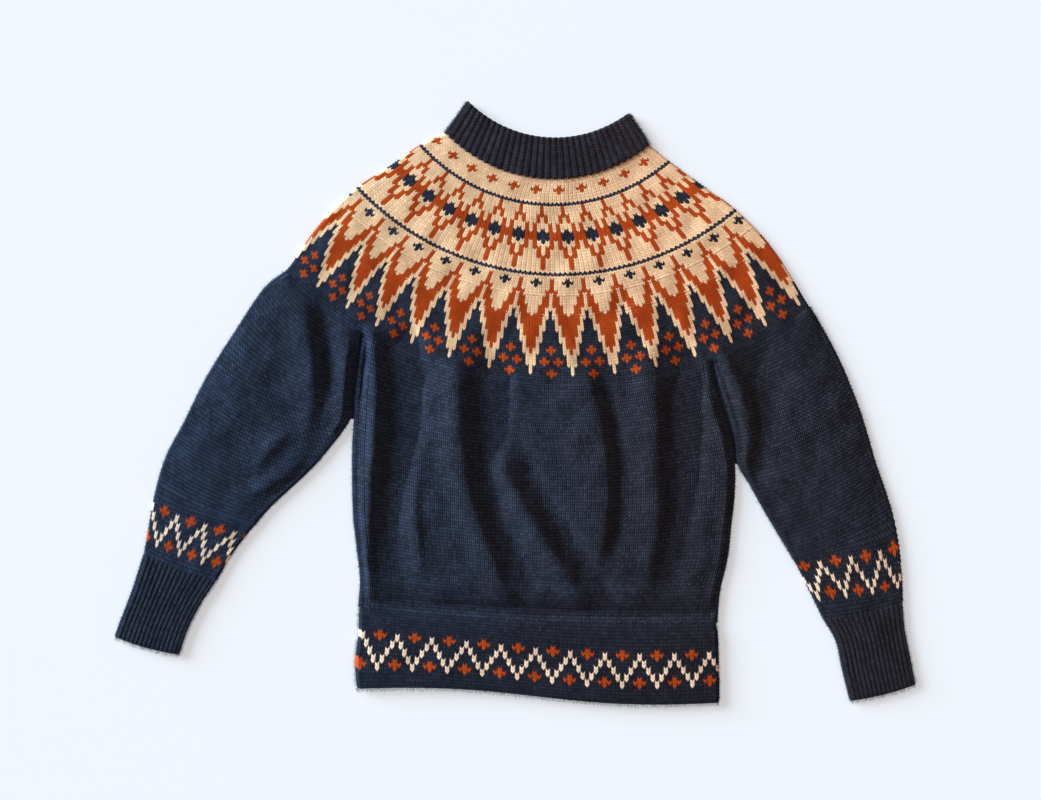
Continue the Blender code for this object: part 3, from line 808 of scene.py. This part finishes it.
def add(tree, kind, settings=None, inputs=None):
    """A node with its settings and its inputs: a value is set, an output socket is linked."""
    node = tree.nodes.new(kind)
    for key, value in (settings or {}).items():
        setattr(node, key, value)
    for key, value in (inputs or {}).items():
        if isinstance(value, bpy.types.NodeSocket):
            tree.links.new(value, node.inputs[key])
        else:
            node.inputs[key].default_value = value
    return node


def mapped(tree, value, low, high, start=0.0, end=1.0):
    """A value carried from start and end over to low and high, held beyond them."""
    inputs = {"Value": value, "From Min": start, "From Max": end, "To Min": low, "To Max": high}
    return add(tree, "ShaderNodeMapRange", None, inputs).outputs[0]


def mixed(tree, share, first, second, blend="MIX"):
    """Two colours mixed by a share of the second."""
    settings = {"data_type": "RGBA", "blend_type": blend}
    return add(tree, "ShaderNodeMix", settings, {"Factor": share, 6: first, 7: second}).outputs[2]


def computed(tree, operation, first, second):
    return add(tree, "ShaderNodeMath", {"operation": operation}, {0: first, 1: second}).outputs[0]


NAVY = "#25364f"
RUST = "#b14a09"
CREAM = "#ecd7b7"
BORDER_CREAM = "#f2eadd"  # of the zigzags
RIB_NAVY = "#2a3347"
CUFF_NAVY = "#28384f"
HEM_NAVY = "#1f2d44"
# Painted shade in the gaps between the yarns and a painted highlight on top of a yarn: what is left of each
# colour in the gaps, in red, green and blue, and on top of a yarn.
GAP_SHADE_NAVY = (0.42, 0.17, 0.08)
GAP_SHADE_PALE = (0.80, 0.66, 0.50)
CREST_HIGHLIGHT_NAVY = 1.75
CREST_HIGHLIGHT_PALE = 1.12
SPREAD_NAVY = 0.5  # change of shade from stitch to stitch
SPREAD_LIGHT = 0.14
PATCH_SIZE = 45.0  # millimetres, slow change of shade over a garment
FIBRE_SIZE = 0.55  # millimetres, a thread of fibres in the yarn
FIBRE_DEPTH = 0.25
FIBRE_SHADE = 0.22
NOISE_LOW, NOISE_HIGH = 0.3, 0.7  # between which most of a noise lies
# Painted light: a tint from cool on the left to warm on the right, multiplied into the yarn's colour.
PAINTED_COOL_X = -0.34  # metres, where the painted cool light begins to turn, and where the painted warm light is full
PAINTED_WARM_X = 0.18
PAINTED_LIGHT_LEFT = "#f2feff"
PAINTED_LIGHT_RIGHT = "#f8d0b8"
PAINTED_LIGHT_ON_PALE = 0.3  # share of the painted light tint that rust and cream take


def wool(name, navy, rust, cream, patchy=0.12):
    """Brushed wool yarn: matt, with a soft bloom at grazing angles. The yarn's colour is held by each
    stitch, with a small change of shade from stitch to stitch and a slow one over the cloth. Painted light
    tints it cooler on the left and warmer on the right; painted shade darkens the gaps between the yarns
    and a painted highlight lightens their tops. Fine fibre bumps."""
    material = bpy.data.materials.new(name)
    material.use_nodes = True
    tree = material.node_tree
    shader = tree.nodes["Principled BSDF"]
    where = add(tree, "ShaderNodeTexCoord").outputs["Object"]
    yarn, tone, gap = (
        add(tree, "ShaderNodeAttribute", {"attribute_name": key}).outputs["Fac"]
        for key in ("yarn", "tone", "gap")
    )
    patches = {"Vector": where, "Scale": 1 / (PATCH_SIZE * MM), "Detail": 2.0}
    slow = add(tree, "ShaderNodeTexNoise", None, patches).outputs["Fac"]
    threads = {"Vector": where, "Scale": 1 / (FIBRE_SIZE * MM), "Detail": 3.0, "Distortion": 1.2}
    fibre = add(tree, "ShaderNodeTexNoise", None, threads).outputs["Fac"]
    ramp = add(tree, "ShaderNodeValToRGB", None, {"Fac": yarn})
    ramp.color_ramp.interpolation = "CONSTANT"
    ramp.color_ramp.elements[0].color = linear(navy)
    ramp.color_ramp.elements[1].position = 0.75
    ramp.color_ramp.elements[1].color = linear(cream)
    middle = ramp.color_ramp.elements.new(0.25)
    middle.color = linear(rust)
    light = mapped(tree, yarn, 0.0, 1.0, end=0.5)
    spread = mapped(tree, light, SPREAD_NAVY, SPREAD_LIGHT)
    darkest = computed(tree, "SUBTRACT", 1.0, spread)
    lightest = computed(tree, "ADD", 1.0, spread)
    by_stitch = mapped(tree, tone, darkest, lightest)
    by_place = mapped(tree, slow, 1 - patchy, 1 + patchy, NOISE_LOW, NOISE_HIGH)
    by_fibre = mapped(tree, fibre, 1 - FIBRE_SHADE, 1 + FIBRE_SHADE, NOISE_LOW, NOISE_HIGH)
    whole = computed(tree, "MULTIPLY", computed(tree, "MULTIPLY", by_stitch, by_place), by_fibre)
    shade = add(tree, "ShaderNodeHueSaturation", None, {"Value": whole, "Color": ramp.outputs["Color"]})
    # Painted light: the colour is tinted cool on the left and warm on the right, less on rust and cream.
    place_x = add(tree, "ShaderNodeSeparateXYZ", None, {"Vector": where}).outputs["X"]
    side = mapped(tree, place_x, 0.0, 1.0, PAINTED_COOL_X, PAINTED_WARM_X)
    painted_light_tint = mixed(tree, side, linear(PAINTED_LIGHT_LEFT), linear(PAINTED_LIGHT_RIGHT))
    painted_light_share = mapped(tree, light, 1.0, PAINTED_LIGHT_ON_PALE)
    painted_light_tinted = mixed(tree, painted_light_share, shade.outputs["Color"], painted_light_tint, "MULTIPLY")
    # Painted shade in the gaps between the yarns, a warm dark, and a painted highlight on their tops.
    gap_shade_tint = mixed(tree, light, (*GAP_SHADE_NAVY, 1.0), (*GAP_SHADE_PALE, 1.0))
    crest_highlight = mapped(tree, light, CREST_HIGHLIGHT_NAVY, CREST_HIGHLIGHT_PALE)
    final = mixed(tree, 1.0, painted_light_tinted, mixed(tree, gap, crest_highlight, gap_shade_tint), "MULTIPLY")
    bumps = {"Height": fibre, "Distance": FIBRE_DEPTH * MM, "Strength": 0.6}
    normal = add(tree, "ShaderNodeBump", None, bumps).outputs["Normal"]
    tree.links.new(final, shader.inputs["Base Color"])
    tree.links.new(normal, shader.inputs["Normal"])
    shader.inputs["Roughness"].default_value = 0.92
    shader.inputs["IOR"].default_value = 1.55
    shader.inputs["Metallic"].default_value = 0.0
    shader.inputs["Specular IOR Level"].default_value = 0.15
    shader.inputs["Sheen Weight"].default_value = 0.18
    shader.inputs["Sheen Roughness"].default_value = 0.45
    shader.inputs["Sheen Tint"].default_value = linear("#6fa6e0")
    return material


def declare(made, nodes, cut):
    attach(made, "root")
    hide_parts(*nodes)


def tube_cut(tube):
    """Width round, length and area of a tube's cloth, in millimetres."""
    place = np.linspace(0, tube.last, 41)
    loops = tube.loop(place) * 2
    runs = np.interp(place, tube.fine, tube.run)
    area = float(((loops[1:] + loops[:-1]) / 2 * np.diff(runs)).sum())
    return float(loops.max()), tube.long, min(area, float(loops.max()) * tube.long)


yoke_wool = wool("dyed_wool_yoke", NAVY, RUST, CREAM, 0.05)
body_wool = wool("dyed_wool_stockinette", NAVY, RUST, BORDER_CREAM)
rib_wool = wool("dyed_wool_rib", RIB_NAVY, RUST, CREAM)
cuff_wool = wool("dyed_wool_cuff", CUFF_NAVY, RUST, CREAM)
hem_wool = wool("dyed_wool_hem", HEM_NAVY, RUST, BORDER_CREAM)

# Neckband: knit columns stand up between sunk purl columns.
NECK_ROWS = 13
neck_tube = Tube(NECKBAND, BAND_RADIUS, BAND_WALL)
neckband = piece("neckband_knit", [
    knit(neck_tube, 0.0, neck_tube.long / (NECK_ROWS + 0.8), NECK_ROWS, 0.0, 1 / 64, 64, plain, tuck=0.0,
         rib=True, seed=11, fuzz=3500),
], rib_wool)
declare(neckband, ["neckband"], tube_cut(neck_tube))

# Yoke, from the neckband down: crosses, diamonds and pendants, one row of each hidden under the last.
YOKE_START = -0.5  # rows, so that the hanging stitches end where the neckband's do
YOKE_ROWS = 70.2
CROSS_AT, DIAMOND_AT, PENDANT_AT = -0.041, 0.003, -0.003  # turns at which a repeat begins
CROSS_STEP = 0.0905 / 6  # turns to a column
DIAMOND_STEP = 0.0712 / 6
PENDANT_REPEAT = 0.0704
# Patches of pendants: first row, rows, columns to a repeat, and tuck.
PENDANTS = ((33, 7, 8, TUCK), (40, 7, 10, 0.4), (47, 24, 12, 0.4))
yoke_tube = Tube(YOKE)
YOKE_PITCH = yoke_tube.long / YOKE_ROWS
yoke_parts = [
    knit(yoke_tube, (YOKE_START - 1) * YOKE_PITCH, YOKE_PITCH, 10, CROSS_AT - 4.5 * CROSS_STEP,
         CROSS_STEP, 74, crosses, lining=1.0, seed=21, fuzz=60),
    knit(yoke_tube, (YOKE_START + 8) * YOKE_PITCH, YOKE_PITCH, 25, DIAMOND_AT - 0.5 * DIAMOND_STEP,
         DIAMOND_STEP, 85, diamonds, lining=1.0, seed=22, fuzz=140),
]
for first_row, count, repeat, tuck in PENDANTS:
    step = PENDANT_REPEAT / repeat
    yoke_parts.append(
        knit(yoke_tube, (YOKE_START + first_row - 1) * YOKE_PITCH, YOKE_PITCH, count + 1,
             PENDANT_AT - 0.5 * step, step, 14 * repeat + 3, pendants(first_row - 1, repeat),
             drift=1.0, seed=first_row, fuzz=5 * count, tuck=tuck)
    )
yoke = piece("yoke_knit", yoke_parts, yoke_wool)
declare(yoke, ["yoke"], tube_cut(yoke_tube))

# Body: the front between the two seams, and the back with both side folds.
BODY_ROWS = 76
FIRST_ROW = 0.3  # millimetres down a tube, where the row after its hidden one begins
body_tube = Tube((divided_ring(UNDERARM["left"][1], UNDERARM["right"][0]), *BODY), flush=True)
BODY_PITCH = body_tube.long / (BODY_ROWS - 1)


def seam_turn(side, place):
    """Turn of a side seam, which lies a set distance in front of its fold."""
    run = SIDE_SEAM[side] - FOLD_RADIUS + math.pi * FOLD_RADIUS / 2
    share = run / body_tube.loop(place)
    return share if side == "left" else 1 - share


def front_turns(share, place):
    left = seam_turn("left", place)
    return left + share * (seam_turn("right", place) - left)


def back_turns(share, place):
    right = seam_turn("right", place)
    return right + share * (2 + seam_turn("left", place) - right)


# Low in the slots under the arms: the lines of the joining cloth, from the sleeve's side to the body's.
GUSSETS = (
    (((-184, 92), (-190, 60), (-197, 20), (-202, -18)), ((-166, 88), (-170, 60), (-175, 20), (-178, -20))),
    (((219, 62), (222, 40), (233, 5), (241, -40), (246, -70)),
     ((238, 66), (247, 40), (258, 5), (266, -40), (266, -72))),
)
GUSSET_LOW, GUSSET_HIGH = 0.3, 2.0
body_front = piece("body_front_knit", [
    knit(body_tube, FIRST_ROW - BODY_PITCH, BODY_PITCH, BODY_ROWS, 0, 1 / 92, 88, plain, closed=False,
         turns=front_turns, seed=31, fuzz=6000),
], body_wool)
body_back = piece("body_back_knit", [
    knit(body_tube, FIRST_ROW - BODY_PITCH, BODY_PITCH, BODY_ROWS, 0, 1 / 92, 96, plain, closed=False,
         turns=back_turns, seed=32, fuzz=8000),
    *[gusset(*lines, GUSSET_LOW, GUSSET_HIGH) for lines in GUSSETS],
], body_wool)
FRONT_LESS = 21.0  # millimetres by which the front is narrower than half the loop, and the back wider
BACK_MORE = 26.0
body_width = float(body_tube.loop(np.linspace(0, body_tube.last, 21)).max())
front_width, back_width = body_width - FRONT_LESS, body_width + BACK_MORE
declare(body_front, ["body_front"],
        (front_width, body_tube.long, front_width * body_tube.long))
declare(body_back, ["body_back"],
        (back_width, body_tube.long, back_width * body_tube.long))

# Hem band, double, with the zigzag border.
HEM_PITCH = 3.82
HEM_FIRST = 0.84
HEM_STEP = 0.09475 / 8
RIM = 0.9  # how far a free edge turns in
hem_tube = Tube(HEM_BAND, BAND_RADIUS, BAND_WALL)
hem = piece("hem_knit", [
    knit(hem_tube, HEM_FIRST - HEM_PITCH, HEM_PITCH, 24, 0.02 - 0.5 * HEM_STEP, HEM_STEP, 84, zigzag(9),
         rim=RIM, seed=41, fuzz=9000, tuck=3.3, tuck_rows=4),
], hem_wool)
declare(hem, ["hem_band"], tube_cut(hem_tube))

# Sleeves: a plain upper part, and the border at the wrist with its own count of columns.
LEAD_ROWS = 4  # plain rows of a border patch above its zigzag
ARM_PITCH = 4.25  # about, a whole number of rows fits
BORDER_REPEAT = 0.285
CUFF_PITCH = 4.0
# Side, the tubes' tables, the upper ring's ends, and the border: its distance down the table's rings, its
# pitch and its rows, the turn of a peak, and its slant.
ARMS = (
    ("left", SLEEVE_LEFT, CUFF_LEFT, YOKE[-1][0], UNDERARM["left"][0], 246.5, 4.46, 12, 0.015, -4.0),
    ("right", SLEEVE_RIGHT, CUFF_RIGHT, UNDERARM["right"][1], YOKE[-1][2], 227.4, 4.68, 13, 0.2125, 8.0),
)
for side, rows, cuff_rows, x_left, x_right, border, border_pitch, border_rows, peak, slant in ARMS:
    arm = Tube((divided_ring(x_left, x_right), *rows), flush=True)
    border += float(np.interp(1.0, arm.fine, arm.run)) - LEAD_ROWS * border_pitch
    upper_rows = round(border / ARM_PITCH)
    pitch = border / (upper_rows - 1)
    step = BORDER_REPEAT / 8
    sleeve = piece(f"sleeve_{side}_knit", [
        knit(arm, FIRST_ROW - pitch, pitch, upper_rows, -1 / 34, 1 / 34, 36, plain, seed=51, fuzz=9000),
        knit(arm, border - border_pitch, border_pitch, border_rows + LEAD_ROWS + 2,
             peak - BORDER_REPEAT - 0.5 * step, step, 36, zigzag(1 + LEAD_ROWS), seed=52, fuzz=1500,
             slant=slant),
    ], body_wool)
    declare(sleeve, [f"sleeve_{side}"], tube_cut(arm))
    wrist = Tube(cuff_rows)
    cuff = piece(f"cuff_{side}_knit", [
        knit(wrist, -CUFF_PITCH, CUFF_PITCH, round(wrist.long / CUFF_PITCH) + 1, 0.0, 1 / 32, 32, plain,
             tuck=0.4, rim=RIM, rib=True, seed=61, fuzz=3000),
    ], cuff_wool)
    declare(cuff, [f"cuff_{side}"], tube_cut(wrist))

# A pale table, lit from below as a light table is, so that shadows on it stay faint, and soft light: cool
# from the left, weak and warm from the right.
floor_material = bpy.data.materials.new("light_table")
floor_material.use_nodes = True
floor_shader = floor_material.node_tree.nodes["Principled BSDF"]
floor_shader.inputs["Base Color"].default_value = linear("#9ea2a4")
floor_shader.inputs["Roughness"].default_value = 0.8
floor_shader.inputs["Specular IOR Level"].default_value = 0.2
floor_shader.inputs["Emission Color"].default_value = linear("#f0f6fd")
floor_shader.inputs["Emission Strength"].default_value = 0.5
floor_mesh = bpy.data.meshes.new("floor")
FLOOR = 3.0
floor_mesh.from_pydata([(-FLOOR, -FLOOR, 0), (FLOOR, -FLOOR, 0), (FLOOR, FLOOR, 0), (-FLOOR, FLOOR, 0)], [],
                       [(0, 1, 2, 3)])
floor_mesh.materials.append(floor_material)
floor = placed("floor", floor_mesh)

# Name, colour, strength, spread in degrees, and where the light comes from.
LAMPS = (
    ("sun_from_left", "#e0f1ff", 9.2, 36, (-1.18, 0.62, 0.50)),
    ("sun_from_right", "#ffdcc4", 0.3, 60, (1.0, 0.4, 0.9)),
)
for name, colour, strength, spread, direction in LAMPS:
    lamp = bpy.data.lights.new(name, "SUN")
    lamp.color = linear(colour)[:3]
    lamp.energy = strength
    lamp.angle = math.radians(spread)
    x, y, z = direction
    tilt = math.atan2(math.hypot(x, y), z)
    placed(name, lamp).rotation_euler = (tilt, 0.0, math.atan2(y, x) + math.pi / 2)
world = bpy.data.worlds.new("studio")
world.use_nodes = True
world.node_tree.nodes["Background"].inputs["Color"].default_value = linear("#ffdccb")
world.node_tree.nodes["Background"].inputs["Strength"].default_value = 0.45
bpy.context.scene.world = world
bpy.context.scene.view_settings.view_transform = "Standard"

# Camera straight above, square to the table, framed as the photo.
VIEW_TOP = 0.010  # metres, the height at which the photo's scale holds, and the camera's above it
VIEW_HIGH = 1.6
SENSOR = 36.0
camera_data = bpy.data.cameras.new("camera")
camera_data.sensor_width = SENSOR
camera_data.lens = SENSOR * VIEW_HIGH / (PHOTO_WIDTH * PIXEL * MM)
camera_data.dof.use_dof = False
camera = placed("camera", camera_data)
view_middle = np.array((PHOTO_WIDTH / 2, PHOTO_HEIGHT / 2)) - PHOTO_ORIGIN
camera.location = ((view_middle[0] * PIXEL - CENTRE[0]) * MM, (-view_middle[1] * PIXEL - CENTRE[1]) * MM,
                   VIEW_TOP + VIEW_HIGH)
bpy.context.scene.camera = camera
